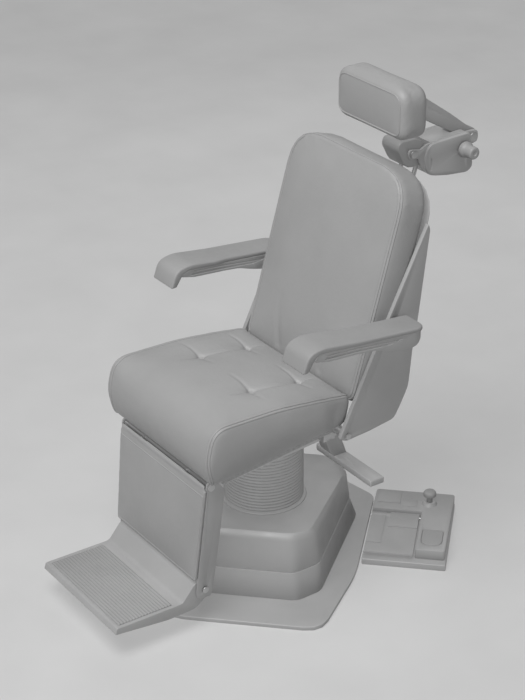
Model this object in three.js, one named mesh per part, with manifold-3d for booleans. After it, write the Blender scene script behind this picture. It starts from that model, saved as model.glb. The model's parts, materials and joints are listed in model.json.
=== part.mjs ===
// A hydraulic dental chair, in millimetres, +Z up. The origin is on the floor, on the axis of the
// lift column. The sitter faces -Y, and +X is the sitter's left. The chair is drawn at its lowest,
// with its base turned under it and every other joint at rest.
import * as THREE from "three";
import { mergeVertices } from "three/addons/utils/BufferGeometryUtils.js";
import Module from "manifold-3d";

const wasm = await Module();
wasm.setup();

// ---------------------------------------------------------------- driving dimensions
const GAP = 0.4; // between pieces that touch
const RUNNING = 0.6; // radial play of a shaft in its hole

const BASE_YAW = 46; // degrees that the base is turned under the chair
const PLATE_TOP = 12;
const COVER_SEAM = 95; // height of the line between the two base covers
const SEAM_GAP = 2;
const COVER_TOP = 203;
const COVER_WALL = 4;

const BELLOWS_RADIUS = 108;
const BELLOWS_RING_TOP = 207;
const HUB_FLOOR = 392; // underside of the swivel hub, where the bellows ends
const RAM_RADIUS = 59;
const COLUMN_RADIUS = 70;
const SEAT_FLOOR = 424; // underside of the seat frame

const CUSHION_HALF = 245; // half-width of the seat and back cushions
const CUSHION_FLOOR_SLOPE = 0.118; // the seat cushion is thinner towards the back
const CUSHION_FLOOR_FRONT = { y: -314, z: 441 };
const PANEL_INSIDE = 246; // the back's side panels
const PANEL_OUTSIDE = 258;

const HINGE = { y: 86, z: 470 }; // the back's recline axis
const RECLINE = 16; // degrees that the back leans at rest
const SHAFT_RADIUS = 12;
const CRANK = { radius: 55, angle: 30 }; // the shaft's cranks trail straight down by this angle
const CRANK_X = 156.5;

const KNEE = { y: -300, z: 424 }; // the leg rest's axis
const LEG_LEAN = 6.2;
const LEG_CRANK = { radius: 45, angle: 37.5 };
const LEG_HALF_TOP = 205;
const LEG_HALF_FOOT = 190;

const ANKLE = { y: -314, z: 118 }; // the footrest's axis
const FOOTREST_HALF = 185.5;

const ARM_PIVOT = { y: 222, z: 748 };
const ARM_INSIDE = 251;
const ARM_OUTSIDE = 346;

const ROD = { x: 28, v: 207, radius: 6 }; // the headrest's two slide rods
const BLOCK_PIVOT = { y: 447, z: 1092 };
const REAR_PIVOT = { y: 661, z: 1090 };
const PAD_PIVOT = { y: 438, z: 1236 };
const CHEEK_INSIDE = 36.6; // the lower link's two cheeks
const CHEEK_OUTSIDE = 43;
const UPPER_LINK_HALF = 15;

const CONTROL = { x0: 269, x1: 498, y0: 2, y1: 330, trayTop: 19, top: 50 }; // foot control
const TREADLE_AXIS = { y: 214, z: 34 };
const BUTTON = { x: 430, y: 265, cap: 18, stem: 8.5 };

// ---------------------------------------------------------------- finishes
const FINISHES = {
  vinyl: { color: 0x8f8f8d, roughness: 0.5, metalness: 0 },
  paint: { color: 0xa3a3a0, roughness: 0.42, metalness: 0.1 },
  steel: { color: 0x9a9b9c, roughness: 0.35, metalness: 0.9 },
  rubber: { color: 0x6d6d6c, roughness: 0.8, metalness: 0 },
  plastic: { color: 0x8c8c8a, roughness: 0.5, metalness: 0 },
  wood: { color: 0xa58a62, roughness: 0.8, metalness: 0 },
};

const radians = THREE.MathUtils.degToRad;
const chair = new THREE.Group();

function group(parent, { y = 0, z = 0, turnX = 0, turnZ = 0, mirror = false } = {}) {
  const made = new THREE.Group();
  made.position.set(0, y, z);
  made.rotation.set(radians(turnX), 0, radians(turnZ));
  if (mirror) made.scale.x = -1;
  parent.add(made);
  return made;
}

function piece(parent, name, finish, geometry) {
  const mesh = new THREE.Mesh(geometry, new THREE.MeshStandardMaterial(FINISHES[finish]));
  mesh.name = name;
  parent.add(mesh);
}

// ---------------------------------------------------------------- shapes
// A closed outline. Each corner is [a, b] or [a, b, cut], and a cut corner is rounded from that
// far before it to that far after it, or from nearly halfway along a side that is shorter.
function outline(corners) {
  const shape = new THREE.Shape();
  const points = corners.map(([a, b]) => new THREE.Vector2(a, b));
  corners.forEach(([a, b, cut = 0], i) => {
    const here = points[i];
    const before = points.at(i - 1);
    const after = points[(i + 1) % points.length];
    const reach = Math.min(cut, 0.48 * here.distanceTo(before), 0.48 * here.distanceTo(after));
    const start = before.clone().sub(here).setLength(reach).add(here);
    const end = after.clone().sub(here).setLength(reach).add(here);
    if (i === 0) shape.moveTo(start.x, start.y);
    else shape.lineTo(start.x, start.y);
    if (reach) shape.quadraticCurveTo(a, b, end.x, end.y);
  });
  shape.closePath();
  return shape;
}

function disc(y, z, radius) {
  const shape = new THREE.Shape();
  shape.absarc(y, z, radius, 0, 2 * Math.PI);
  return shape;
}

// Extrudes a shape by depth along its own third axis; the edge of each end is rounded by bevel.
function extrude(shape, depth, { bevel = 0, steps = 2, curve = 3 } = {}) {
  return new THREE.ExtrudeGeometry(shape, {
    depth: depth - 2 * bevel,
    curveSegments: curve,
    bevelEnabled: bevel > 0,
    bevelThickness: bevel,
    bevelSize: bevel,
    bevelOffset: -bevel,
    bevelSegments: steps,
  }).translate(0, 0, bevel);
}

const X_AXIS = new THREE.Vector3(1, 0, 0);
const Y_AXIS = new THREE.Vector3(0, 1, 0);
const Z_AXIS = new THREE.Vector3(0, 0, 1);
const SIDE_VIEW = new THREE.Matrix4().makeBasis(Y_AXIS, Z_AXIS, X_AXIS);
const FRONT_VIEW = new THREE.Matrix4().makeBasis(Z_AXIS, X_AXIS, Y_AXIS);

// A shape drawn in Y and Z, extruded from x0 to x1.
function acrossX(shape, x0, x1, options) {
  return extrude(shape, x1 - x0, options).applyMatrix4(SIDE_VIEW).translate(x0, 0, 0);
}

// A shape drawn in Z and X, extruded from y0 to y1.
function acrossY(shape, y0, y1, options) {
  return extrude(shape, y1 - y0, options).applyMatrix4(FRONT_VIEW).translate(0, y0, 0);
}

// A shape drawn in X and Y, extruded from z0 to z1.
function upZ(shape, z0, z1, options) {
  return extrude(shape, z1 - z0, options).translate(0, 0, z0);
}

function box(x0, x1, y0, y1, z0, z1) {
  const made = new THREE.BoxGeometry(x1 - x0, y1 - y0, z1 - z0);
  return made.translate((x0 + x1) / 2, (y0 + y1) / 2, (z0 + z1) / 2);
}

function barX(x0, x1, y, z, radius, sides = 20) {
  const made = new THREE.CylinderGeometry(radius, radius, x1 - x0, sides);
  return made.rotateZ(Math.PI / 2).translate((x0 + x1) / 2, y, z);
}

function barY(y0, y1, x, z, radius, sides = 20) {
  return new THREE.CylinderGeometry(radius, radius, y1 - y0, sides).translate(x, (y0 + y1) / 2, z);
}

function barZ(x, y, z0, z1, radius, sides = 20) {
  const made = new THREE.CylinderGeometry(radius, radius, z1 - z0, sides);
  return made.rotateX(Math.PI / 2).translate(x, y, (z0 + z1) / 2);
}

// Turns a closed profile of [radius, height] points, listed anticlockwise, about the Z axis.
function turned(profile, sides = 40) {
  const points = profile.map(([r, h]) => new THREE.Vector2(r, h));
  if (profile[0][0] > 0) points.push(points[0].clone());
  return new THREE.LatheGeometry(points, sides).rotateX(Math.PI / 2);
}

// A closed skin through rings of equal point counts, listed upwards and anticlockwise.
function loft(rings) {
  const count = rings[0].length;
  const at = (ring, i) => ring * count + (i % count);
  const cap = THREE.ShapeUtils.triangulateShape(rings[0].map((p) => new THREE.Vector2(p.x, p.y)), []);
  const last = rings.length - 1;
  const faces = [];
  for (let r = 0; r < last; r++) {
    for (let i = 0; i < count; i++) {
      faces.push(at(r, i), at(r, i + 1), at(r + 1, i + 1));
      faces.push(at(r, i), at(r + 1, i + 1), at(r + 1, i));
    }
  }
  for (const [a, b, c] of cap) {
    faces.push(at(0, a), at(0, c), at(0, b));
    faces.push(at(last, a), at(last, b), at(last, c));
  }
  const made = new THREE.BufferGeometry().setFromPoints(rings.flat());
  made.setIndex(faces);
  return made;
}

function solid(geometry) {
  const bare = new THREE.BufferGeometry();
  bare.setAttribute("position", geometry.getAttribute("position"));
  bare.setIndex(geometry.getIndex());
  const merged = mergeVertices(bare, 1e-4);
  return new wasm.Manifold(
    new wasm.Mesh({
      numProp: 3,
      vertProperties: merged.attributes.position.array,
      triVerts: new Uint32Array(merged.index.array),
    }),
  );
}

function skin(body) {
  const { vertProperties, triVerts } = body.getMesh();
  const made = new THREE.BufferGeometry();
  made.setAttribute("position", new THREE.BufferAttribute(vertProperties, 3));
  return made.setIndex(new THREE.BufferAttribute(triVerts, 1));
}

const join = (...parts) => skin(parts.map(solid).reduce((a, b) => a.add(b)));
const cut = (first, ...tools) => skin(tools.map(solid).reduce((a, b) => a.subtract(b), solid(first)));
const common = (...parts) => skin(parts.map(solid).reduce((a, b) => a.intersect(b)));

// What make gives for a span of x, and for the same span on the right.
const bothSides = (x0, x1, make) => [make(x0, x1), make(-x1, -x0)];

const SIDES = [
  { side: "left", mirror: false },
  { side: "right", mirror: true },
];

// The geometry turned over about x = 0.
function mirrorX(geometry) {
  const made = geometry.clone().scale(-1, 1, 1);
  const index = made.getIndex().array;
  for (let i = 0; i < index.length; i += 3) [index[i + 1], index[i + 2]] = [index[i + 2], index[i + 1]];
  return made;
}

// ---------------------------------------------------------------- base
const base = group(chair, { turnZ: BASE_YAW });

// Mirrors the right half of an outline, listed from the front to the back, about x = 0.
function mirrored(half) {
  return [...half, ...half.toReversed().map(([x, ...rest]) => [-x, ...rest])];
}

const PLATE_HALF = [
  [207, -332, 50],
  [262, -60, 50],
  [265, 350, 22],
  [150, 437, 40],
];
piece(
  base,
  "base_plate",
  "paint",
  upZ(outline(mirrored(PLATE_HALF)), 0, PLATE_TOP, { bevel: 1.5, steps: 1 }),
);

// The covers' outline at the floor, at the seam and on top, as right halves from front to back.
const COVER_FOOT = [[126, -217, 18], [181, -160, 18], [229, 250, 30], [165, 318, 30]];
const COVER_MIDDLE = [[117, -215, 18], [175, -158, 18], [214, 205, 30], [160, 262, 30]];
const COVER_CROWN = [[104, -191, 18], [151, -167, 18], [198, 122, 30], [140, 226, 30]];

// The outline at a share of the way between two others, as points at height z.
function ring(from, to, share, z, inset = 0) {
  const corners = mirrored(from).map(([x, y, rounding], i) => {
    const [toX, toY] = mirrored(to)[i];
    const between = [x + (toX - x) * share, y + (toY - y) * share];
    return [...between.map((c) => c - Math.sign(c) * inset), rounding];
  });
  const points = outline(corners).getPoints(3);
  if (points.at(-1).equals(points[0])) points.pop();
  return points.map((p) => new THREE.Vector3(p.x, p.y, z));
}

const skirt = [COVER_FOOT, COVER_MIDDLE];
const crown = [COVER_MIDDLE, COVER_CROWN];
piece(
  base,
  "lower_base_cover",
  "paint",
  cut(
    loft([ring(...skirt, 0, PLATE_TOP + GAP), ring(...skirt, 1, COVER_SEAM)]),
    loft([ring(...skirt, 0, PLATE_TOP - 5, COVER_WALL), ring(...skirt, 1, COVER_SEAM + 5, COVER_WALL)]),
  ),
);
// [share of the way from the seam's outline to the top's, height]
const CROWN_PROFILE = [
  [0, COVER_SEAM + SEAM_GAP],
  [0.35, COVER_TOP - 19],
  [0.62, COVER_TOP - 7],
  [1, COVER_TOP],
];
piece(
  base,
  "upper_base_cover",
  "paint",
  cut(
    loft(CROWN_PROFILE.map(([share, z]) => ring(...crown, share, z))),
    loft([
      ring(...crown, 0, COVER_SEAM - 5, COVER_WALL),
      ring(...crown, 0.35, COVER_TOP - 21, COVER_WALL),
      ring(...crown, 0.8, COVER_TOP - COVER_WALL, COVER_WALL),
    ]),
    barZ(0, 0, COVER_TOP - 30, COVER_TOP + 5, COLUMN_RADIUS + 4, 32),
  ),
);
piece(
  base,
  "bellows_ring",
  "paint",
  turned([
    [COLUMN_RADIUS + 18, COVER_TOP + GAP],
    [BELLOWS_RADIUS + 8, COVER_TOP + GAP],
    [BELLOWS_RADIUS + 8, BELLOWS_RING_TOP - 1.5],
    [BELLOWS_RADIUS + 6.5, BELLOWS_RING_TOP],
    [COLUMN_RADIUS + 18, BELLOWS_RING_TOP],
  ]),
);
piece(
  base,
  "outer_column",
  "steel",
  turned([
    [RAM_RADIUS + RUNNING, PLATE_TOP + GAP],
    [95, PLATE_TOP + GAP],
    [95, PLATE_TOP + 12],
    [COLUMN_RADIUS, PLATE_TOP + 12],
    [COLUMN_RADIUS, HUB_FLOOR - 16],
    [RAM_RADIUS + RUNNING, HUB_FLOOR - 16],
  ]),
);
const PUMP = { y: 170, z: 72, radius: 40 };
piece(
  base,
  "pump_unit",
  "paint",
  join(
    barX(-104, 30, PUMP.y, PUMP.z, PUMP.radius, 24),
    box(26, 104, PUMP.y - 38, PUMP.y + 38, PLATE_TOP + GAP, 118),
    box(-90, -30, PUMP.y - 30, PUMP.y + 30, PLATE_TOP + GAP, PUMP.z),
  ),
);

// ---------------------------------------------------------------- foot control
const controlTray = [
  [CONTROL.x0, CONTROL.y0, 4],
  [CONTROL.x1, CONTROL.y0, 4],
  [CONTROL.x1, CONTROL.y1, 4],
  [CONTROL.x0, CONTROL.y1, 4],
];
piece(
  base,
  "foot_control_tray",
  "paint",
  upZ(outline(controlTray), 0, CONTROL.trayTop, { bevel: 2, steps: 1 }),
);

const BLOCK_LEFT = 412; // inner side of the raised block on the right
const BRIDGE_FRONT = 222; // front of the raised part behind the treadle
const controlBlock = [
  [BLOCK_LEFT, 24, 5],
  [CONTROL.x1 - 4, 24, 8],
  [CONTROL.x1 - 1, CONTROL.y1 - 4, 8],
  [CONTROL.x0 + 6, CONTROL.y1 - 4, 8],
  [CONTROL.x0 + 4, BRIDGE_FRONT, 5],
  [BLOCK_LEFT, BRIDGE_FRONT, 5],
];
const footPadShape = (margin) =>
  outline([
    [424 - margin, 50 - margin, 24],
    [482 + margin, 50 - margin, 24],
    [482 + margin, 128 + margin, 10],
    [424 - margin, 128 + margin, 10],
  ]);
const PAD_TRAVEL = 3;
const PAD_FLOOR = 43;
piece(
  base,
  "foot_control_housing",
  "plastic",
  cut(
    join(
      upZ(outline(controlBlock), CONTROL.trayTop + GAP, CONTROL.top, { bevel: 3 }),
      new THREE.CylinderGeometry(17, 22, 9, 24)
        .rotateX(Math.PI / 2)
        .translate(BUTTON.x, BUTTON.y, CONTROL.top + 4),
      box(CONTROL.x0 + 14, 348, BRIDGE_FRONT + 30, 316, CONTROL.top - 2, CONTROL.top + 3),
      box(356, 396, BRIDGE_FRONT + 18, 276, CONTROL.top - 2, CONTROL.top + 1.5),
    ),
    upZ(footPadShape(0.8), PAD_FLOOR - PAD_TRAVEL - 1, CONTROL.top + 5),
    barZ(BUTTON.x, BUTTON.y, 27, 70, BUTTON.stem + RUNNING),
  ),
);
piece(
  base,
  "foot_pad",
  "rubber",
  upZ(footPadShape(0), PAD_FLOOR, CONTROL.top + 1.5, { bevel: 1.5, steps: 1 }),
);
piece(
  base,
  "foot_button",
  "rubber",
  turned(
    [
      [0, 42],
      [BUTTON.stem, 42],
      [BUTTON.stem, 76],
      [BUTTON.cap - 1.5, 76],
      [BUTTON.cap, 78],
      [BUTTON.cap, 87],
      [BUTTON.cap - 4, 92],
      [0, 94],
    ],
    24,
  ).translate(BUTTON.x, BUTTON.y, 0),
);

const TREADLE_FLOOR = 29;
const TREADLE_TOP = 37;
const treadleRight = BLOCK_LEFT - 5;
piece(
  base,
  "treadle",
  "plastic",
  cut(
    join(
      box(CONTROL.x0 + 4, treadleRight, 14, BRIDGE_FRONT - 3, TREADLE_FLOOR, TREADLE_TOP),
      box(326, treadleRight, 146, BRIDGE_FRONT - 3, TREADLE_TOP - 1, TREADLE_TOP + 4),
      box(CONTROL.x0 + 4, 314, 60, BRIDGE_FRONT - 3, TREADLE_TOP - 1, TREADLE_TOP + 2),
      barX(CONTROL.x0 + 4, treadleRight, TREADLE_AXIS.y - 6, TREADLE_AXIS.z, 7, 16),
    ),
    barX(CONTROL.x0, BLOCK_LEFT, TREADLE_AXIS.y - 6, TREADLE_AXIS.z, 3 + RUNNING, 16),
  ),
);
piece(
  base,
  "treadle_pin",
  "steel",
  barX(CONTROL.x0 + 1, BLOCK_LEFT - 1, TREADLE_AXIS.y - 6, TREADLE_AXIS.z, 3, 12),
);

// ---------------------------------------------------------------- lift and swivel
const FOLDS = 9;
function bellowsProfile() {
  const foot = BELLOWS_RING_TOP + GAP;
  const height = HUB_FLOOR - GAP - foot;
  const outer = [];
  for (let i = 0; i < FOLDS; i++) {
    outer.push([BELLOWS_RADIUS - 7, foot + (height * i) / FOLDS]);
    outer.push([BELLOWS_RADIUS, foot + (height * (i + 0.5)) / FOLDS]);
  }
  outer.push([BELLOWS_RADIUS - 7, foot + height]);
  return [[92, foot], ...outer, [92, foot + height]];
}
piece(chair, "bellows", "rubber", turned(bellowsProfile(), 36));
piece(
  chair,
  "lift_ram",
  "steel",
  turned([
    [46, 60],
    [RAM_RADIUS, 60],
    [RAM_RADIUS, HUB_FLOOR - GAP],
    [46, HUB_FLOOR - GAP],
  ]),
);
const SPIGOT = 30;
const HUB_TOP = HUB_FLOOR + 12;
piece(
  chair,
  "swivel_hub",
  "steel",
  turned([
    [0, HUB_FLOOR],
    [BELLOWS_RADIUS + 4, HUB_FLOOR],
    [BELLOWS_RADIUS + 4, HUB_TOP],
    [SPIGOT, HUB_TOP],
    [SPIGOT, SEAT_FLOOR - 1],
    [0, SEAT_FLOOR - 1],
  ]),
);
piece(
  chair,
  "swivel_bearing",
  "steel",
  turned([
    [SPIGOT + RUNNING, HUB_TOP + GAP],
    [SPIGOT + 32, HUB_TOP + GAP],
    [SPIGOT + 32, HUB_TOP + 7],
    [SPIGOT + RUNNING, HUB_TOP + 7],
  ]),
);
piece(
  chair,
  "swivel_plate",
  "steel",
  turned([
    [SPIGOT + RUNNING, HUB_TOP + 7 + GAP],
    [BELLOWS_RADIUS + 2, HUB_TOP + 7 + GAP],
    [BELLOWS_RADIUS + 2, SEAT_FLOOR - GAP],
    [SPIGOT + RUNNING, SEAT_FLOOR - GAP],
  ]),
);

// ---------------------------------------------------------------- seat
// Height of the seat cushion's sloping floor at y.
const cushionFloor = (y) => CUSHION_FLOOR_FRONT.z + (y - CUSHION_FLOOR_FRONT.y) * CUSHION_FLOOR_SLOPE;

const BOARD = { front: -278, back: 64, thick: 10 };
const FRAME = { front: -286, back: 72, half: 125, wall: 4 };
const EAR = { x0: 204, x1: 211, radius: 15 };
const KNEE_ROD = 6;

const seatSection = [
  [-318, cushionFloor(-318), 20],
  [-331, 512, 30],
  [-313, 604, 46],
  [-110, 603, 40],
  [107, 577, 22],
  [98, cushionFloor(98), 20],
];
piece(
  chair,
  "seat_cushion",
  "vinyl",
  acrossX(outline(seatSection), -CUSHION_HALF, CUSHION_HALF, { bevel: 12, steps: 3, curve: 4 }),
);
const boardTop = (y) => cushionFloor(y) - GAP;
const boardFloor = (y) => boardTop(y) - BOARD.thick;
const seatBoard = [
  [BOARD.front, boardFloor(BOARD.front)],
  [BOARD.back, boardFloor(BOARD.back)],
  [BOARD.back, boardTop(BOARD.back)],
  [BOARD.front, boardTop(BOARD.front)],
];
piece(chair, "seat_board", "wood", acrossX(outline(seatBoard), -225, 225));

const frameSide = [
  [FRAME.front, SEAT_FLOOR],
  [FRAME.back, SEAT_FLOOR],
  [FRAME.back, boardFloor(FRAME.back) - GAP],
  [FRAME.front, boardFloor(FRAME.front) - GAP],
];
const earSide = [
  [44, 442, 4],
  [HINGE.y - 2, HINGE.z - EAR.radius - 2, 6],
  [HINGE.y + EAR.radius, HINGE.z - EAR.radius, 8],
  [HINGE.y + EAR.radius, HINGE.z + EAR.radius, 10],
  [HINGE.y - 12, HINGE.z + EAR.radius, 4],
  [BOARD.back + 1, 463],
  [44, 463],
];
const kneeLug = [
  [KNEE.y - 9.5, KNEE.z + 9.5, 8],
  [KNEE.y - 9.5, KNEE.z - 9.5, 8],
  [KNEE.y + 8, KNEE.z - 9.5, 6],
  [-262, SEAT_FLOOR],
  [-262, SEAT_FLOOR + 8],
  [KNEE.y + 8, KNEE.z + 8],
];
piece(
  chair,
  "seat_frame",
  "steel",
  cut(
    join(
      cut(
        acrossX(outline(frameSide), -FRAME.half, FRAME.half),
        box(
          FRAME.wall - FRAME.half,
          FRAME.half - FRAME.wall,
          FRAME.front + FRAME.wall,
          FRAME.back - FRAME.wall,
          SEAT_FLOOR + FRAME.wall,
          520,
        ),
      ),
      box(-EAR.x1, EAR.x1, 44, 56, 442, 462),
      ...bothSides(EAR.x0, EAR.x1, (a, b) => acrossX(outline(earSide), a, b)),
      ...bothSides(100, 108, (a, b) => acrossX(outline(kneeLug), a, b)),
    ),
    ...bothSides(EAR.x0 - 5, EAR.x1 + 5, (a, b) => barX(a, b, HINGE.y, HINGE.z, SHAFT_RADIUS + RUNNING, 24)),
    ...bothSides(95, 115, (a, b) => barX(a, b, KNEE.y, KNEE.z, KNEE_ROD + GAP, 16)),
  ),
);
piece(
  chair,
  "knee_rod",
  "steel",
  join(
    barX(-208, 208, KNEE.y, KNEE.z, KNEE_ROD, 16),
    ...bothSides(205.5, 210, (a, b) => barX(a, b, KNEE.y, KNEE.z, 10, 16)),
  ),
);

// The lever that locks the swivel hangs from this bracket behind the column.
const LEVER = { x0: 40, x1: 287, y0: 141, y1: 186, z0: 312, z1: 330 };
const LEVER_PIVOT = { x: 104, y: 162 };
const LEVER_BOLT = 5.5;
const leverBracket = [
  [LEVER.y0, LEVER.z1 + GAP],
  [LEVER.y1 - 4, LEVER.z1 + GAP],
  [166, 374, 6],
  [160, 404, 10],
  [86, 452, 4],
  [FRAME.back + GAP, 452],
  [FRAME.back + GAP, 428],
  [90, 426, 6],
  [104, 402, 8],
  [128, 345],
];
piece(
  chair,
  "lever_bracket",
  "paint",
  cut(
    acrossX(outline(leverBracket), 84, 128, { bevel: 1.5, steps: 1 }),
    barZ(LEVER_PIVOT.x, LEVER_PIVOT.y, 320, 352, LEVER_BOLT + GAP),
  ),
);
piece(
  chair,
  "lever_bolt",
  "steel",
  join(
    barZ(LEVER_PIVOT.x, LEVER_PIVOT.y, LEVER.z0 - 3, 350, LEVER_BOLT),
    barZ(LEVER_PIVOT.x, LEVER_PIVOT.y, LEVER.z0 - 7.5, LEVER.z0 - GAP, 10, 6),
  ),
);
const leverPlan = [
  [LEVER.x0, LEVER.y0, 12],
  [LEVER.x1, LEVER.y0, 4],
  [LEVER.x1, LEVER.y1, 4],
  [LEVER.x0, LEVER.y1, 12],
];
piece(
  chair,
  "swivel_lock_lever",
  "paint",
  cut(
    upZ(outline(leverPlan), LEVER.z0, LEVER.z1, { bevel: 3 }),
    barZ(LEVER_PIVOT.x, LEVER_PIVOT.y, LEVER.z0 - 5, LEVER.z1 + 5, LEVER_BOLT + RUNNING),
  ),
);

// ---------------------------------------------------------------- recline drive under the seat
function crankPin(centre, { radius, angle }) {
  return { y: centre.y + radius * Math.sin(radians(angle)), z: centre.z - radius * Math.cos(radians(angle)) };
}
const BACK_PIN = crankPin(HINGE, CRANK);
const LEG_PIN = crankPin(KNEE, LEG_CRANK);
const CRANK_PIN = 4;
const EYE = { x0: 146, x1: 151, drop: 10, play: 1.5 }; // slotted eye that takes a crank's pin

// A plate with a tall slot, so that its pin can swing below the rod's straight path.
function eye(pin) {
  const wall = 6;
  const reach = CRANK_PIN + EYE.play;
  const slot = [
    [pin.y - reach, pin.z - reach - EYE.drop, 3],
    [pin.y + reach, pin.z - reach - EYE.drop, 3],
    [pin.y + reach, pin.z + reach, 3],
    [pin.y - reach, pin.z + reach, 3],
  ];
  const rim = [
    [pin.y - reach - wall, pin.z - reach - EYE.drop - wall, 5],
    [pin.y + reach + wall, pin.z - reach - EYE.drop - wall, 5],
    [pin.y + reach + wall, pin.z + reach + wall, 5],
    [pin.y - reach - wall, pin.z + reach + wall, 5],
  ];
  return { rim: outline(rim), slot: outline(slot) };
}

function slottedRod(eyes, sides) {
  return cut(
    join(...sides, ...eyes.map(({ rim }) => acrossX(rim, EYE.x0, EYE.x1))),
    ...eyes.map(({ slot }) => acrossX(slot, EYE.x0 - 2, EYE.x1 + 2)),
  );
}

const linkBar = [
  [LEG_PIN.y + 9, LEG_PIN.z - 10],
  [BACK_PIN.y - 9, BACK_PIN.z - 10],
  [BACK_PIN.y - 9, BACK_PIN.z],
  [LEG_PIN.y + 9, LEG_PIN.z],
];
piece(
  chair,
  "leg_link",
  "steel",
  slottedRod([eye(LEG_PIN), eye(BACK_PIN)], [acrossX(outline(linkBar), EYE.x0, EYE.x1)]),
);

const CYLINDER = { x: -150, y0: -190, y1: 14, radius: 14, bore: 10 };
const cylinderAxis = BACK_PIN.z - 5;
piece(
  chair,
  "recline_cylinder",
  "paint",
  cut(
    join(
      barY(CYLINDER.y0, CYLINDER.y1, CYLINDER.x, cylinderAxis, CYLINDER.radius),
      box(CYLINDER.x + 8, -FRAME.half - GAP, -160, -120, cylinderAxis - 6, cylinderAxis + 24),
    ),
    barY(CYLINDER.y0 + 40, CYLINDER.y1 + 5, CYLINDER.x, cylinderAxis, CYLINDER.bore),
  ),
);
const rodTail = box(EYE.x0, EYE.x1, 60, BACK_PIN.y - 9, BACK_PIN.z - 11, BACK_PIN.z + 1);
piece(
  chair,
  "recline_rod",
  "steel",
  join(
    mirrorX(slottedRod([eye(BACK_PIN)], [rodTail])),
    barY(-70, 66, CYLINDER.x, cylinderAxis, 6, 16),
  ),
);

// ---------------------------------------------------------------- back
// In this group y runs from the sitter's side to the rear, and z runs up the back.
const back = group(chair, { ...HINGE, turnX: -RECLINE });

function crank(x0, x1) {
  const arm = [
    [HINGE.y - 9, HINGE.z + 6, 4],
    [BACK_PIN.y - 8, BACK_PIN.z - 4, 6],
    [BACK_PIN.y + 8, BACK_PIN.z - 8, 6],
    [HINGE.y + 12, HINGE.z + 2, 4],
  ];
  return acrossX(outline(arm), x0, x1);
}
const crankPinBar = (x0, x1) => barX(x0, x1, BACK_PIN.y, BACK_PIN.z, CRANK_PIN, 12);
piece(
  chair,
  "back_shaft",
  "steel",
  join(
    barX(GAP - PANEL_INSIDE, PANEL_INSIDE - GAP, HINGE.y, HINGE.z, SHAFT_RADIUS, 24),
    ...bothSides(CRANK_X - 2.5, CRANK_X + 3.5, crank),
    ...bothSides(EYE.x0 - 2, CRANK_X, crankPinBar),
  ),
);

// The side panels, drawn in the back's own y and z.
const PANEL = [
  [-23, -9.8, 5],
  [19.7, 232, 10],
  [87, 578, 6],
  [98, 562, 6],
  [133.5, 333, 20],
  [143.5, 240, 20],
  [162.5, 137, 16],
  [152, 83, 16],
  [142, 46, 12],
  [70.6, 13, 10],
  [0, -14, 8],
];
// The armrest's pivot in the back's own frame.
function inBack({ y, z }) {
  const lean = radians(RECLINE);
  const dy = y - HINGE.y;
  const dz = z - HINGE.z;
  return {
    v: dy * Math.cos(lean) - dz * Math.sin(lean),
    u: dy * Math.sin(lean) + dz * Math.cos(lean),
  };
}
const armHole = inBack(ARM_PIVOT);
const ARM_PIN = 8;
const SHAFT_BOLT = 5;

for (const { side, mirror } of SIDES) {
  const sideBack = group(back, { mirror });
  piece(
    sideBack,
    `side_panel_${side}`,
    "paint",
    cut(
      acrossX(outline(PANEL), PANEL_INSIDE, PANEL_OUTSIDE, { bevel: 1, steps: 1 }),
      barX(PANEL_INSIDE - 5, PANEL_OUTSIDE + 5, 0, 0, SHAFT_BOLT + GAP, 16),
      barX(PANEL_INSIDE - 5, PANEL_OUTSIDE + 5, armHole.v, armHole.u, ARM_PIN + GAP, 20),
    ),
  );
  piece(
    sideBack,
    `shaft_bolt_${side}`,
    "steel",
    join(
      barX(PANEL_INSIDE, PANEL_OUTSIDE + 2, 0, 0, SHAFT_BOLT, 12),
      barX(PANEL_OUTSIDE + GAP, PANEL_OUTSIDE + 5, 0, 0, 9, 6),
    ),
  );
  piece(
    sideBack,
    `arm_pivot_${side}`,
    "steel",
    barX(PANEL_INSIDE + GAP, PANEL_OUTSIDE + 46, armHole.v, armHole.u, ARM_PIN, 20),
  );
}

const BACK_CUSHION = { front: -3, rear: 84, foot: 81, top: 696 };
const backFace = [
  [BACK_CUSHION.foot, -CUSHION_HALF, 34],
  [BACK_CUSHION.top, -CUSHION_HALF, 116],
  [BACK_CUSHION.top, CUSHION_HALF, 116],
  [BACK_CUSHION.foot, CUSHION_HALF, 34],
];
piece(
  back,
  "back_cushion",
  "vinyl",
  acrossY(outline(backFace), BACK_CUSHION.front, BACK_CUSHION.rear, { bevel: 16, steps: 3, curve: 5 }),
);
const boardFace = [
  [106, -222, 20],
  [668, -220, 100],
  [668, 220, 100],
  [106, 222, 20],
];
const BACK_BOARD = { front: BACK_CUSHION.rear + GAP, rear: BACK_CUSHION.rear + 10 };
piece(back, "back_board", "wood", acrossY(outline(boardFace), BACK_BOARD.front, BACK_BOARD.rear));

// The rear cover is a bent sheet between the side panels.
const COVER_LINE = [
  [152, 90],
  [160, 137],
  [141.5, 240],
  [131.5, 333],
  [97.5, 566],
  [97.5, 668],
];
const COVER_SHEET = 3;
const coverSection = [...COVER_LINE, ...COVER_LINE.toReversed().map(([v, u]) => [v - COVER_SHEET, u])];
const coverHalf = PANEL_INSIDE - GAP;
const coverFace = [
  [COVER_LINE[0][1], -coverHalf],
  [COVER_LINE.at(-1)[1], -coverHalf, 110],
  [COVER_LINE.at(-1)[1], coverHalf, 110],
  [COVER_LINE[0][1], coverHalf],
];
piece(
  back,
  "back_cover",
  "paint",
  common(
    acrossX(outline(coverSection), -PANEL_INSIDE, PANEL_INSIDE),
    acrossY(outline(coverFace), BACK_BOARD.rear, 200, { curve: 5 }),
  ),
);

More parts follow.
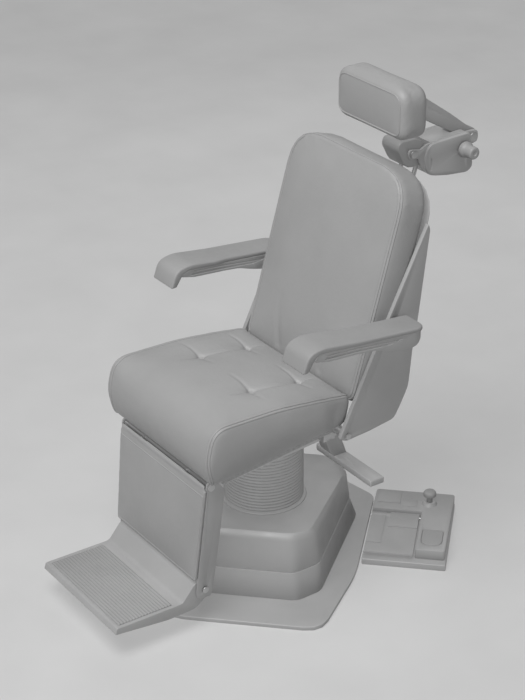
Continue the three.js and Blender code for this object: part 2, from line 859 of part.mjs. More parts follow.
const RAIL = { x0: 48, x1: 76 };
const railFront = BACK_BOARD.rear + GAP;
const railSection = [
  [railFront, 430],
  [108, 430],
  [108, 68, 8],
  [14, -8],
  [9, 10],
  [railFront, 86, 8],
];
const RUNG_HEIGHTS = [92, 202, 312, 418];
const rungs = RUNG_HEIGHTS.map((u) => box(2 - RAIL.x1, RAIL.x1 - 2, railFront + 2, 106, u, u + 12));
piece(
  back,
  "back_frame",
  "steel",
  cut(
    join(...bothSides(RAIL.x0, RAIL.x1, (a, b) => acrossX(outline(railSection), a, b)), ...rungs),
    barX(-RAIL.x1 - 5, RAIL.x1 + 5, 0, 0, SHAFT_RADIUS + GAP, 24),
  ),
);

const GUIDE_TOP = 612;
const guideSection = [
  [118.2, 428],
  [185, 446, 10],
  [228, 470, 8],
  [228, GUIDE_TOP, 8],
  [186, GUIDE_TOP, 8],
  [98.9, 562, 6],
];
const rodBar = (x, radius, u0, u1) => barZ(x, ROD.v, u0, u1, radius, 16);
piece(
  back,
  "headrest_guide",
  "paint",
  cut(
    acrossX(outline(guideSection), -44, 44, { bevel: 2, steps: 1 }),
    rodBar(ROD.x, ROD.radius + RUNNING, 400, 650),
    rodBar(-ROD.x, ROD.radius + RUNNING, 400, 650),
  ),
);

// ---------------------------------------------------------------- armrests
// The pad's top edge falls away at its front, and the bar under it ends in the hinge's lobe.
const capSection = [
  [-119, 744],
  [-102, 791, 40],
  [-62, 801, 40],
  [52, 787],
  [264, 769],
  [264, 757.2],
  [52, 773.3],
  [-40, 782.7, 20],
  [-76, 784, 30],
  [-102, 744],
];
const barSection = [
  [-82, 766, 6],
  [-39, 756],
  [53, 750],
  [102, 745, 12],
  [146, 731, 14],
  [196, 719, 20],
  [234, 719, 24],
  [260, 740, 20],
  [261, 756.2],
  [52, 772.5],
  [-40, 782],
  [-68, 781],
];
const recess = [
  [-52, 762],
  [44, 756],
  [150, 746, 6],
  [196, 752, 6],
  [60, 767],
  [-40, 775],
];
// Seen from above, the pad is cut back where the back's side panel passes it, and its rear is
// rounded.
const ARM_REAR = 264;
const padPlan = [
  [ARM_INSIDE, -125],
  [ARM_OUTSIDE, -125],
  [ARM_OUTSIDE, ARM_REAR, 36],
  [260, ARM_REAR, 12],
  [260, 62],
  [ARM_INSIDE, 20],
];
const BAR_INSIDE = 262;
const BAR_OUTSIDE = 340;
const barPlan = [
  [BAR_INSIDE, -125],
  [BAR_OUTSIDE, -125],
  [BAR_OUTSIDE, ARM_REAR, 36],
  [BAR_INSIDE, ARM_REAR, 10],
];
for (const { side, mirror } of SIDES) {
  const arm = group(chair, { mirror });
  piece(
    arm,
    `armrest_pad_${side}`,
    "rubber",
    common(
      acrossX(outline(capSection), ARM_INSIDE, ARM_OUTSIDE, { bevel: 5, steps: 3, curve: 5 }),
      upZ(outline(padPlan), 700, 850, { curve: 6 }),
    ),
  );
  piece(
    arm,
    `armrest_bar_${side}`,
    "paint",
    cut(
      common(
        acrossX(outline(barSection), BAR_INSIDE, BAR_OUTSIDE, { bevel: 2, steps: 1 }),
        upZ(outline(barPlan), 700, 850, { curve: 6 }),
      ),
      acrossX(outline(recess), BAR_INSIDE - 5, BAR_INSIDE + 4),
      acrossX(outline(recess), BAR_OUTSIDE - 4, BAR_OUTSIDE + 5),
      barX(BAR_INSIDE - 5, PANEL_OUTSIDE + 47, ARM_PIVOT.y, ARM_PIVOT.z, ARM_PIN + RUNNING, 20),
    ),
  );
}

// ---------------------------------------------------------------- leg rest
// In this group y runs from the calf to the rear, and z runs up the leg rest.
const leg = group(chair, { ...KNEE, turnX: -LEG_LEAN });
function inLeg({ y, z }) {
  const lean = radians(LEG_LEAN);
  const dy = y - KNEE.y;
  const dz = z - KNEE.z;
  return {
    v: dy * Math.cos(lean) - dz * Math.sin(lean),
    u: dy * Math.sin(lean) + dz * Math.cos(lean),
  };
}
const ankle = inLeg(ANKLE);
const legPin = inLeg(LEG_PIN);
const LEG_WALL = 3.5;
const ANKLE_BOLT = 6;
const CALF = -7.5; // front edge of the frame's walls, behind the pad's rim
const HEEL = 45; // rear of the frame

// The leg rest's half-width at height u of its own frame.
const LEG_FOOT = ankle.u - 29;
const legHalf = (u) => LEG_HALF_TOP + ((LEG_HALF_TOP - LEG_HALF_FOOT) * u) / -LEG_FOOT;
function legTaper(inset, top, foot) {
  return outline([
    [foot, legHalf(foot) - inset],
    [foot, inset - legHalf(foot)],
    [top, inset - legHalf(top)],
    [top, legHalf(top) - inset],
  ]);
}
const wallSection = [
  [-13, 14, 9],
  [-13, -6, 3],
  [CALF, -9],
  [ankle.v - 25, LEG_FOOT, 24],
  [ankle.v + 24, LEG_FOOT, 22],
  [HEEL, -200],
  [HEEL, -14, 14],
  [13, 14, 9],
];
const legBody = skin(
  solid(acrossY(legTaper(0, 20, ankle.u - 25), -60, 60))
    .intersect(solid(acrossX(outline(wallSection), -LEG_HALF_TOP - 5, LEG_HALF_TOP + 5)))
    .subtract(
      solid(acrossY(legTaper(LEG_WALL, 30, ankle.u - 40), -60, HEEL - LEG_WALL)),
    )
    .subtract(solid(box(-LEG_HALF_TOP, LEG_HALF_TOP, HEEL - LEG_WALL - 20, HEEL + 5, -62, 20)).intersect(
      solid(acrossY(legTaper(LEG_WALL, 30, ankle.u - 40), -60, 60)),
    ))
    .subtract(solid(acrossY(legTaper(LEG_WALL, ankle.u + 40, ankle.u - 40), -60, 60))),
);
const legCrankArm = [
  [legPin.v - 8, legPin.u - 9, 6],
  [HEEL - LEG_WALL + 1, legPin.u - 58],
  [HEEL - LEG_WALL + 1, legPin.u - 34],
  [legPin.v + 9, legPin.u + 8, 6],
  [legPin.v - 7, legPin.u + 8, 6],
];
piece(
  leg,
  "leg_frame",
  "paint",
  cut(
    join(
      legBody,
      acrossX(outline(legCrankArm), CRANK_X - 2.5, CRANK_X + 3.5),
      barX(EYE.x0 - 2, CRANK_X, legPin.v, legPin.u, CRANK_PIN, 12),
    ),
    ...bothSides(185, 215, (a, b) => barX(a, b, 0, 0, KNEE_ROD + GAP, 16)),
    ...bothSides(170, 205, (a, b) => barX(a, b, ankle.v, ankle.u, ANKLE_BOLT + GAP, 16)),
  ),
);
const LEG_PAD = { front: -18, rear: -1.5, top: -10, foot: ankle.u + 30 };
const KNEE_BAND = { front: -17.5, rear: -11.5, top: 4.5 }; // the pad's top, in front of the knee rod
piece(
  leg,
  "leg_pad",
  "vinyl",
  join(
    acrossY(legTaper(0.5, LEG_PAD.top, LEG_PAD.foot), LEG_PAD.front, CALF - GAP, { bevel: 4, steps: 2 }),
    acrossY(legTaper(LEG_WALL + 1.5, LEG_PAD.top - 10, LEG_PAD.foot + 4), CALF - 4, LEG_PAD.rear),
    acrossY(legTaper(LEG_WALL + 1.5, KNEE_BAND.top, LEG_PAD.top - 8), KNEE_BAND.front, KNEE_BAND.rear, {
      bevel: 2,
    }),
  ),
);
piece(
  leg,
  "leg_board",
  "wood",
  acrossY(legTaper(LEG_WALL + 2, -24, ankle.u + 52), LEG_PAD.rear + GAP, LEG_PAD.rear + 10),
);

// ---------------------------------------------------------------- footrest
const boltHead = legHalf(ankle.u) + 1.2;
for (const { side, mirror } of SIDES) {
  piece(
    group(leg, { mirror }),
    `footrest_bolt_${side}`,
    "steel",
    join(
      barX(168, boltHead + 2, ankle.v, ankle.u, ANKLE_BOLT, 16),
      barX(boltHead, boltHead + 4, ankle.v, ankle.u, 9, 16),
    ),
  );
}
const FOOTREST = [
  [-579, 78, 3],
  [-573, 95, 4],
  [-380, 95, 10],
  [-345, 137, 2],
  [-337, 142, 4],
  [-318, 138, 8],
  [-297, 128, 10],
  [-298, 102, 10],
  [-311, 87, 10],
  [-338, 66, 14],
  [-421, 62, 20],
];
piece(
  chair,
  "footrest_plate",
  "paint",
  cut(
    acrossX(outline(FOOTREST), -FOOTREST_HALF, FOOTREST_HALF, { bevel: 1.2, steps: 1 }),
    ...bothSides(166, 200, (a, b) => barX(a, b, ANKLE.y, ANKLE.z, ANKLE_BOLT + RUNNING, 16)),
    box(-174, 174, -562, -404, 92.5, 100),
  ),
);
// The tread is a ribbed mat let into the plate.
const TREAD = { y0: -561.5, y1: -404.5, ribs: 18, foot: 92.9, valley: 94.6, crest: 96.6 };
function treadSection() {
  const pitch = (TREAD.y1 - TREAD.y0) / TREAD.ribs;
  const top = [];
  for (let i = 0; i < TREAD.ribs; i++) {
    const y = TREAD.y1 - i * pitch;
    top.push([y, TREAD.valley], [y - pitch * 0.3, TREAD.crest], [y - pitch * 0.7, TREAD.crest]);
  }
  return [[TREAD.y0, TREAD.foot], [TREAD.y1, TREAD.foot], ...top, [TREAD.y0, TREAD.valley]];
}
piece(chair, "footrest_mat", "rubber", acrossX(outline(treadSection()), -173.5, 173.5));

// ---------------------------------------------------------------- headrest
for (const { side, mirror } of SIDES) {
  piece(group(back, { mirror }), `headrest_rod_${side}`, "steel", rodBar(ROD.x, ROD.radius, 452, 684));
}
const BLOCK = { y0: 404, y1: 490, z0: 1052, z1: 1130, half: 36 };
const blockSection = [
  [BLOCK.y0 - 4, 1110, 10],
  [BLOCK.y0 + 26, BLOCK.z0, 22],
  [BLOCK.y1 - 4, BLOCK.z0, 8],
  [BLOCK.y1, BLOCK.z1 - 16, 16],
  [BLOCK.y1 - 26, BLOCK.z1, 14],
  [BLOCK.y0 + 4, BLOCK.z1, 10],
];
function rodHole(x) {
  const upright = rodBar(x, ROD.radius + GAP, 600, 685);
  return upright.rotateX(-radians(RECLINE)).translate(0, HINGE.y, HINGE.z);
}
const BLOCK_SCREW = 6;
piece(
  chair,
  "headrest_block",
  "paint",
  cut(
    acrossX(outline(blockSection), -BLOCK.half, BLOCK.half, { bevel: 4 }),
    rodHole(ROD.x),
    rodHole(-ROD.x),
    barX(-60, 60, BLOCK_PIVOT.y, BLOCK_PIVOT.z, BLOCK_SCREW + GAP, 16),
  ),
);

piece(
  chair,
  "block_screw",
  "steel",
  join(
    barX(-CHEEK_OUTSIDE - 1, CHEEK_OUTSIDE + 1, BLOCK_PIVOT.y, BLOCK_PIVOT.z, BLOCK_SCREW, 16),
    barX(CHEEK_OUTSIDE + GAP, CHEEK_OUTSIDE + 5, BLOCK_PIVOT.y, BLOCK_PIVOT.z, 10.5, 24),
  ),
);

const cheekSection = [
  [BLOCK_PIVOT.y - 15, BLOCK_PIVOT.z - 15, 12],
  [463, 1076, 4],
  [477, 1041, 14],
  [508, 1019, 10],
  [560, 1010, 6],
  [628, 1004, 12],
  [646, 1017, 12],
  [634, 1117, 12],
  [554, 1113],
  [489, 1110, 12],
  [472, 1099, 6],
  [BLOCK_PIVOT.y - 15, BLOCK_PIVOT.z + 15, 12],
];
// The housing stands out from the cheeks, behind the neck that the block's screw goes through.
const HOUSING_OUTSIDE = 50;
const housingSection = [
  [485, 1042, 24],
  [506, 1020.5, 14],
  [560, 1010.5, 6],
  [627, 1004.5, 12],
  [645, 1017.5, 12],
  [633, 1116, 12],
  [554, 1112],
  [497, 1109, 14],
  [483, 1082, 18],
];
const housingSlot = (x0, x1) => box(x0, x1, 500, 505, 1036, 1070);
const coreSection = [
  [508, 1020],
  [560, 1011],
  [628, 1005, 12],
  [645, 1018, 12],
  [633, 1116, 12],
  [508, 1110],
];
const prongSection = [
  [600, 1070],
  [652, 1070, 8],
  [REAR_PIVOT.y + 18, REAR_PIVOT.z - 17, 14],
  [REAR_PIVOT.y + 18, REAR_PIVOT.z + 17, 14],
  [600, 1108],
];
const cheek = (x0, x1) => acrossX(outline(cheekSection), x0, x1, { bevel: 1, steps: 1 });
const housing = (x0, x1) => acrossX(outline(housingSection), x0, x1, { bevel: 2.5, steps: 2 });
const PRONG = { x0: UPPER_LINK_HALF + 1, x1: 26 };
const HUB_PIN = 6;
const KNOB = { y: 612, z: 1073, stem: 7, collar: 13, radius: 17.5, flange: 22 };
piece(
  chair,
  "headrest_lower_link",
  "paint",
  cut(
    join(
      acrossX(outline(coreSection), -CHEEK_INSIDE - 1, CHEEK_INSIDE + 1),
      ...bothSides(CHEEK_INSIDE, CHEEK_OUTSIDE, cheek),
      ...bothSides(CHEEK_OUTSIDE - 4, HOUSING_OUTSIDE, housing),
      ...bothSides(PRONG.x0, PRONG.x1, (a, b) => acrossX(outline(prongSection), a, b)),
    ),
    box(-PRONG.x0, PRONG.x0, 588, 700, 1071, 1130),
    barX(-60, 60, BLOCK_PIVOT.y, BLOCK_PIVOT.z, BLOCK_SCREW + RUNNING, 16),
    barX(-40, 40, REAR_PIVOT.y, REAR_PIVOT.z, HUB_PIN + GAP, 16),
    barX(18, 60, KNOB.y, KNOB.z, KNOB.stem + RUNNING, 16),
    barX(CHEEK_OUTSIDE + GAP, 60, KNOB.y, KNOB.z, KNOB.collar + 1, 24),
    ...bothSides(HOUSING_OUTSIDE - 2, HOUSING_OUTSIDE + 5, housingSlot),
  ),
);
piece(
  chair,
  "rear_hub_screw",
  "steel",
  join(
    barX(-PRONG.x1 - 2, PRONG.x1 + 1, REAR_PIVOT.y, REAR_PIVOT.z, HUB_PIN, 16),
    barX(PRONG.x1 + GAP, PRONG.x1 + 6, REAR_PIVOT.y, REAR_PIVOT.z, 13, 24),
  ),
);
piece(
  chair,
  "headrest_lock_knob",
  "plastic",
  turned(
    [
      [0, 20],
      [KNOB.stem, 20],
      [KNOB.stem, CHEEK_OUTSIDE + 1],
      [KNOB.collar, CHEEK_OUTSIDE + 1],
      [KNOB.collar, CHEEK_OUTSIDE + 7.5],
      [KNOB.flange, CHEEK_OUTSIDE + 9],
      [KNOB.flange, CHEEK_OUTSIDE + 20],
      [KNOB.radius, CHEEK_OUTSIDE + 27],
      [KNOB.radius, 91],
      [KNOB.radius - 3, 95],
      [6, 95],
      [5, 93],
      [0, 93],
    ],
    28,
  )
    .rotateY(Math.PI / 2)
    .translate(0, KNOB.y, KNOB.z),
);

const upperLinkSection = [
  [598, 1112, 10],
  [650, 1076, 12],
  [672, 1070, 10],
  [690, 1084, 10],
  [677, 1107, 10],
  [653, 1118, 10],
  [589, 1167],
  [508, 1224],
  [458, 1258, 18],
  [424, 1252, 16],
  [422, 1220, 16],
  [470, 1185, 16],
];
const PAD_PIN = 5;
piece(
  chair,
  "headrest_upper_link",
  "paint",
  cut(
    acrossX(outline(upperLinkSection), -UPPER_LINK_HALF, UPPER_LINK_HALF, { bevel: 2, steps: 1 }),
    barX(-40, 40, REAR_PIVOT.y, REAR_PIVOT.z, HUB_PIN + RUNNING, 16),
    barX(-40, 40, PAD_PIVOT.y, PAD_PIVOT.z, PAD_PIN + RUNNING, 16),
  ),
);

const HEADREST = { half: 139, front: 330, rear: 414, z0: 1176, z1: 1309 };
const bracketEar = [
  [HEADREST.rear + 1, PAD_PIVOT.z - 20],
  [PAD_PIVOT.y + 13, PAD_PIVOT.z - 13, 10],
  [PAD_PIVOT.y + 13, PAD_PIVOT.z + 13, 10],
  [HEADREST.rear + 1, PAD_PIVOT.z + 20],
];
piece(
  chair,
  "headrest_bracket",
  "paint",
  join(
    box(-44, 44, HEADREST.rear + GAP, HEADREST.rear + 4, 1200, 1280),
    ...bothSides(PRONG.x0, PRONG.x0 + 6, (a, b) => acrossX(outline(bracketEar), a, b)),
    barX(-PRONG.x0 - 8, PRONG.x0 + 8, PAD_PIVOT.y, PAD_PIVOT.z, PAD_PIN, 16),
  ),
);
const headrestFace = [
  [HEADREST.z0, -HEADREST.half, 36],
  [HEADREST.z1, -HEADREST.half, 46],
  [HEADREST.z1, HEADREST.half, 46],
  [HEADREST.z0, HEADREST.half, 36],
];
piece(
  chair,
  "headrest_pad",
  "vinyl",
  acrossY(outline(headrestFace), HEADREST.front, HEADREST.rear, { bevel: 20, steps: 4, curve: 5 }),
);

export default chair;
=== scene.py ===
"""The look of a hydraulic dental chair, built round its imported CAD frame. Lengths are in
millimetres until a mesh is made, and the frame is the CAD's: the sitter faces -Y, and +X is the
sitter's left."""

import json
import math

import bmesh
import bpy
import numpy as np
from mathutils import Matrix, Vector
from mathutils.bvhtree import BVHTree
from mathutils.kdtree import KDTree


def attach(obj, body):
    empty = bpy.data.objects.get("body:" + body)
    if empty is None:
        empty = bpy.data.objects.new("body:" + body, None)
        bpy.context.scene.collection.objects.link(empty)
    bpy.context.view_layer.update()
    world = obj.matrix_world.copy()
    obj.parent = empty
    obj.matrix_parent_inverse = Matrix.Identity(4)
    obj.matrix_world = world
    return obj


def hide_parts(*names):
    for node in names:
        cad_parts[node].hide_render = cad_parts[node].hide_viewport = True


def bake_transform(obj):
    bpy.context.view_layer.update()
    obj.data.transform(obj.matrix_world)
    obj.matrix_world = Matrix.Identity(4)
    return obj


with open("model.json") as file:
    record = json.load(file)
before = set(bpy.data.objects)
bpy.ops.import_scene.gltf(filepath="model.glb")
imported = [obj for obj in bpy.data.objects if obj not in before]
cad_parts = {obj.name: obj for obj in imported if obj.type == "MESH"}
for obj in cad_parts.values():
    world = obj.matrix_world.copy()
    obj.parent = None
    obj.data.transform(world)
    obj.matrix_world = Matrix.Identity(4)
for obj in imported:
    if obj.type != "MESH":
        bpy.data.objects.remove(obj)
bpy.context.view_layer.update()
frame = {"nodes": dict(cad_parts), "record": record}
MM = 0.001
NODE_BODY = {n: b for b, ns in frame["record"]["behaviour"]["bodies"].items() for n in ns}

# ------------------------------------------------------------------ frames of the turned groups
def turned(y, z, lean):
    """The frame at (y, z) that leans by this many degrees: its y runs rearwards and its z up."""
    return Matrix.Translation((0, y, z)) @ Matrix.Rotation(-math.radians(lean), 4, "X")


WORLD = Matrix.Identity(4)
BACK = turned(86, 470, 16)
LEG = turned(-300, 424, 6.2)

# ------------------------------------------------------------------ camera, light and floor
AZIMUTH, ELEVATION, ROLL = (math.radians(a) for a in (55.64, 26.92, -0.3))
CAMERA_PLACE, LENS = (3.7055, -2.5345, 2.9152), 99.6
scene = bpy.context.scene


def aim(forward_from, towards=None, roll=0.0):
    """A matrix at forward_from whose -Z axis points at a place, or along the camera's own view."""
    if towards is None:
        back = Vector((
            math.sin(AZIMUTH) * math.cos(ELEVATION),
            -math.cos(AZIMUTH) * math.cos(ELEVATION),
            math.sin(ELEVATION),
        ))
    else:
        back = (Vector(forward_from) - Vector(towards)).normalized()
    right = Vector((0, 0, 1)).cross(back).normalized()
    turn = Matrix((right, back.cross(right), back)).transposed().to_4x4()
    return Matrix.Translation(forward_from) @ turn @ Matrix.Rotation(roll, 4, "Z")


camera = bpy.data.objects.new("camera", bpy.data.cameras.new("camera"))
camera.data.lens = LENS
camera.data.clip_end = 50
camera.matrix_world = aim(CAMERA_PLACE, roll=ROLL)
scene.collection.objects.link(camera)
scene.camera = camera


def softbox(name, place, towards, size, power):
    light = bpy.data.lights.new(name, "AREA")
    light.shape = "RECTANGLE"
    light.size, light.size_y = size
    light.energy = power
    obj = bpy.data.objects.new(name, light)
    obj.matrix_world = aim(place, towards)
    scene.collection.objects.link(obj)


def even_light(name, place, towards, strength):
    """A light from far away that casts no shadows, as bright everywhere."""
    light = bpy.data.lights.new(name, "SUN")
    light.energy = strength
    light.angle = math.radians(40)
    light.use_shadow = False
    obj = bpy.data.objects.new(name, light)
    obj.matrix_world = aim(place, towards)
    scene.collection.objects.link(obj)


MIDDLE = (0, 0, 0.6)
KEY_PLACE = (0.8, -1.5, 3.5)
softbox("key", KEY_PLACE, MIDDLE, (2.2, 2.2), 44)
softbox("rear", (-2.6, 1.8, 2.4), MIDDLE, (2.0, 2.0), 8)
even_light("even", KEY_PLACE, MIDDLE, 1.9)
world = bpy.data.worlds.new("studio")
world.use_nodes = True
world.node_tree.nodes["Background"].inputs["Color"].default_value = (1, 1, 1, 1)
world.node_tree.nodes["Background"].inputs["Strength"].default_value = 0.12
scene.world = world
scene.view_settings.view_transform = "Standard"


# ------------------------------------------------------------------ materials
GREY = 0.36  # the base grey that vinyl, paint, plastic and rubber vary from


class Nodes:
    """Short names for building a node material."""

    def __init__(self, name):
        self.material = bpy.data.materials.new(name)
        self.material.use_nodes = True
        self.tree = self.material.node_tree
        self.shader = self.tree.nodes["Principled BSDF"]
        self.place = self.add("ShaderNodeTexCoord").outputs["Object"]

    def add(self, kind, **settings):
        node = self.tree.nodes.new(kind)
        for key, value in settings.items():
            setattr(node, key, value)
        return node

    def join(self, out, into):
        self.tree.links.new(out, into)

    def stretched(self, scale):
        mapping = self.add("ShaderNodeMapping")
        mapping.inputs["Scale"].default_value = scale
        self.join(self.place, mapping.inputs["Vector"])
        return mapping.outputs["Vector"]

    def noise(self, scale, detail=3, vector=None):
        node = self.add("ShaderNodeTexNoise")
        node.inputs["Scale"].default_value = scale
        node.inputs["Detail"].default_value = detail
        self.join(vector or self.place, node.inputs["Vector"])
        return node.outputs["Fac"]

    def cells(self, scale):
        node = self.add("ShaderNodeTexVoronoi", feature="SMOOTH_F1")
        node.inputs["Scale"].default_value = scale
        self.join(self.place, node.inputs["Vector"])
        return node.outputs["Distance"]

    def spread(self, value, low, high, start=0.3, end=0.7):
        node = self.add("ShaderNodeMapRange")
        limits = {"From Min": start, "From Max": end, "To Min": low, "To Max": high}
        for key, number in limits.items():
            node.inputs[key].default_value = number
        self.join(value, node.inputs["Value"])
        return node.outputs["Result"]

    def blend(self, share, one, other):
        node = self.add("ShaderNodeMix", data_type="RGBA")
        self.join(share, node.inputs["Factor"])
        for key, colour in (("A", one), ("B", other)):
            socket = [s for s in node.inputs if s.name == key and s.type == "RGBA"][0]
            if isinstance(colour, (int, float)):
                socket.default_value = (colour, colour, colour, 1)
            else:
                self.join(colour, socket)
        return [s for s in node.outputs if s.type == "RGBA"][0]

    def bump(self, height, depth, below=None):
        node = self.add("ShaderNodeBump")
        node.inputs["Distance"].default_value = depth * MM
        self.join(height, node.inputs["Height"])
        if below:
            self.join(below, node.inputs["Normal"])
        return node.outputs["Normal"]

    def finish(self, colour, roughness, normal, metallic=0.0, **fixed):
        self.join(colour, self.shader.inputs["Base Color"])
        self.join(roughness, self.shader.inputs["Roughness"])
        self.join(normal, self.shader.inputs["Normal"])
        self.shader.inputs["Metallic"].default_value = metallic
        for key, value in fixed.items():
            self.shader.inputs[key.replace("_", " ")].default_value = value
        return self.material


def worn(n, grey, lighter):
    """The grey with faint clouds, and lighter where an edge has rubbed."""
    clouds = n.blend(n.spread(n.noise(7, 4), 0, 1), grey * 0.94, grey * 1.05)
    edge = n.spread(n.add("ShaderNodeNewGeometry").outputs["Pointiness"], 0, 0.6, 0.54, 0.62)
    return n.blend(edge, clouds, lighter)


def vinyl():
    n = Nodes("vinyl")
    grain = n.bump(n.cells(640), 0.16, n.bump(n.noise(90, 2), 0.35))
    return n.finish(
        n.blend(n.spread(n.noise(5, 4), 0, 1), GREY * 0.95, GREY * 1.04),
        n.spread(n.noise(30, 3), 0.44, 0.56),
        n.bump(n.noise(14, 3), 0.9, grain),
    )


def paint():
    n = Nodes("paint")
    return n.finish(
        worn(n, GREY * 1.08, GREY * 1.3),
        n.spread(n.noise(24, 3), 0.36, 0.5),
        n.bump(n.noise(420, 2), 0.05, n.bump(n.noise(40, 2), 0.12)),
    )


def plastic():
    n = Nodes("plastic")
    return n.finish(
        worn(n, GREY * 1.02, GREY * 1.18),
        n.spread(n.noise(60, 3), 0.42, 0.58),
        n.bump(n.noise(900, 2), 0.06),
    )


def rubber():
    n = Nodes("rubber")
    return n.finish(
        worn(n, GREY * 0.92, GREY * 1.12),
        n.spread(n.noise(50, 4), 0.55, 0.75),
        n.bump(n.noise(700, 3), 0.08),
    )


def steel():
    n = Nodes("steel")
    brushed = n.noise(60, 4, n.stretched((1, 18, 18)))
    return n.finish(
        worn(n, 0.5, 0.62),
        n.spread(brushed, 0.3, 0.46),
        n.bump(brushed, 0.03),
        metallic=0.75,
    )


def wood():
    n = Nodes("wood")
    rings = n.noise(14, 5, n.stretched((1, 9, 9)))
    return n.finish(
        n.blend(n.spread(rings, 0, 1), 0.3, 0.4),
        n.spread(rings, 0.7, 0.85),
        n.bump(rings, 0.2),
    )


def thread():
    n = Nodes("thread")
    return n.finish(
        n.blend(n.spread(n.noise(300, 2), 0, 1), GREY * 0.95, GREY * 1.12),
        n.spread(n.noise(500, 2), 0.6, 0.8),
        n.bump(n.noise(1500, 2), 0.1),
    )


FINISH = {make.__name__: make() for make in (vinyl, paint, plastic, rubber, steel, wood, thread)}
for part in frame["record"]["subparts"]:
    node = frame["nodes"][part["node"]]
    node.data.materials.clear()
    node.data.materials.append(FINISH[part["material_slot"]])
NODE_SLOT = {part["node"]: part["material_slot"] for part in frame["record"]["subparts"]}


# ------------------------------------------------------------------ mesh helpers
def settle(obj):
    """Applies an object's modifiers to its mesh."""
    bpy.context.view_layer.update()
    seen = obj.evaluated_get(bpy.context.evaluated_depsgraph_get())
    made = bpy.data.meshes.new_from_object(seen)
    obj.modifiers.clear()
    obj.data = made
    return obj


def smooth(obj, angle=38):
    obj.data.polygons.foreach_set("use_smooth", [True] * len(obj.data.polygons))
    obj.data.set_sharp_from_angle(angle=math.radians(angle))
    return obj


def rounded(obj, width, segments=3, angle=32):
    """Rounds an object's edges that turn by more than angle."""
    bevel = obj.modifiers.new("round", "BEVEL")
    bevel.width = width * MM
    bevel.segments = segments
    bevel.limit_method = "ANGLE"
    bevel.angle_limit = math.radians(angle)
    bevel.harden_normals = False
    bevel.use_clamp_overlap = True
    return smooth(settle(obj))


def solid(name, points, faces, place=WORLD):
    """An object from points in millimetres in the given frame."""
    mesh = bpy.data.meshes.new(name)
    mesh.from_pydata([(place @ Vector(p)) * MM for p in points], [], faces)
    mesh.validate()
    obj = bpy.data.objects.new(name, mesh)
    scene.collection.objects.link(obj)
    work = bmesh.new()
    work.from_mesh(mesh)
    bmesh.ops.recalc_face_normals(work, faces=work.faces)
    work.to_mesh(mesh)
    work.free()
    return obj


def outline(corners, steps=8):
    """A closed outline as points. A corner (a, b, cut) is rounded from cut before it to cut
    after it."""
    points = []
    spots = [Vector(c[:2]) for c in corners]
    for i, corner in enumerate(corners):
        here, before, after = spots[i], spots[i - 1], spots[(i + 1) % len(spots)]
        cut = corner[2] if len(corner) > 2 else 0
        cut = min(cut, 0.48 * (before - here).length, 0.48 * (after - here).length)
        if not cut:
            points.append(here)
            continue
        start = here + (before - here).normalized() * cut
        end = here + (after - here).normalized() * cut
        for k in range(steps + 1):
            t = k / steps
            points.append(start * (1 - t) ** 2 + here * 2 * t * (1 - t) + end * t ** 2)
    return [(p.x, p.y) for p in points]


AXES = {  # how a drawn point (a, b) and its depth d lie in a frame
    "x": lambda a, b, d: (d, a, b),
    "y": lambda a, b, d: (a, d, b),
    "z": lambda a, b, d: (a, b, d),
}


def prism(name, axis, corners, low, high, place=WORLD, steps=8):
    """A drawn outline carried along an axis from low to high."""
    drawn = outline(corners, steps)
    count = len(drawn)
    points = [AXES[axis](a, b, d) for d in (low, high) for a, b in drawn]
    faces = [[i, (i + 1) % count, (i + 1) % count + count, i + count] for i in range(count)]
    faces += [list(range(count)), list(range(count, 2 * count))]
    return solid(name, points, faces, place)


def ring_points(radius, sides):
    return [
        (radius * math.cos(2 * math.pi * i / sides), radius * math.sin(2 * math.pi * i / sides))
        for i in range(sides)
    ]


def lathe(name, axis, profile, centre=(0, 0), sides=48, place=WORLD):
    """Turns a closed profile of (radius, depth) points about a line along an axis."""
    points, faces = [], []
    count = len(profile)
    for a, b in ring_points(1, sides):
        for radius, depth in profile:
            points.append(AXES[axis](centre[0] + a * radius, centre[1] + b * radius, depth))
    for i in range(sides):
        j = (i + 1) % sides
        for k in range(count):
            m = (k + 1) % count
            faces.append([i * count + k, j * count + k, j * count + m, i * count + m])
    obj = solid(name, points, faces, place)
    work = bmesh.new()
    work.from_mesh(obj.data)
    bmesh.ops.remove_doubles(work, verts=work.verts, dist=1e-6)
    bmesh.ops.recalc_face_normals(work, faces=work.faces)
    work.to_mesh(obj.data)
    work.free()
    return obj


def combined(obj, other, operation):
    """Works another solid into an object, and removes it."""
    step = obj.modifiers.new("combine", "BOOLEAN")
    step.operation = operation
    step.solver = "EXACT"
    step.object = other
    settle(obj)
    bpy.data.objects.remove(other)
    return obj


def carve(obj, tool):
    return combined(obj, tool, "DIFFERENCE")


def united(obj, other):
    return combined(obj, other, "UNION")


def kept(obj, tool):
    """What of an object lies inside a tool."""
    return combined(obj, tool, "INTERSECT")


def tidied(obj):
    """Joins points that coincide, and faces that lie in one plane."""
    work = bmesh.new()
    work.from_mesh(obj.data)
    bmesh.ops.remove_doubles(work, verts=work.verts, dist=2e-5)
    bmesh.ops.dissolve_limit(
        work, angle_limit=math.radians(0.8), verts=work.verts, edges=work.edges
    )
    work.to_mesh(obj.data)
    work.free()
    return obj


def paint_on(obj, finish):
    obj.data.materials.clear()
    obj.data.materials.append(FINISH[finish])


def stands_for(obj, *nodes):
    """obj takes the place of CAD nodes, and their body, material and record slot."""
    paint_on(obj, NODE_SLOT[nodes[0]])
    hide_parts(*nodes)
    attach(obj, NODE_BODY[nodes[0]])
    return obj


def extra(obj, body, finish):
    """obj is a detail with no CAD node of its own."""
    paint_on(obj, finish)
    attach(obj, body)
    return obj


def blank(node, name):
    """A copy of a CAD node's shape, to be worked on."""
    obj = bpy.data.objects.new(name, frame["nodes"][node].data.copy())
    scene.collection.objects.link(obj)
    return obj


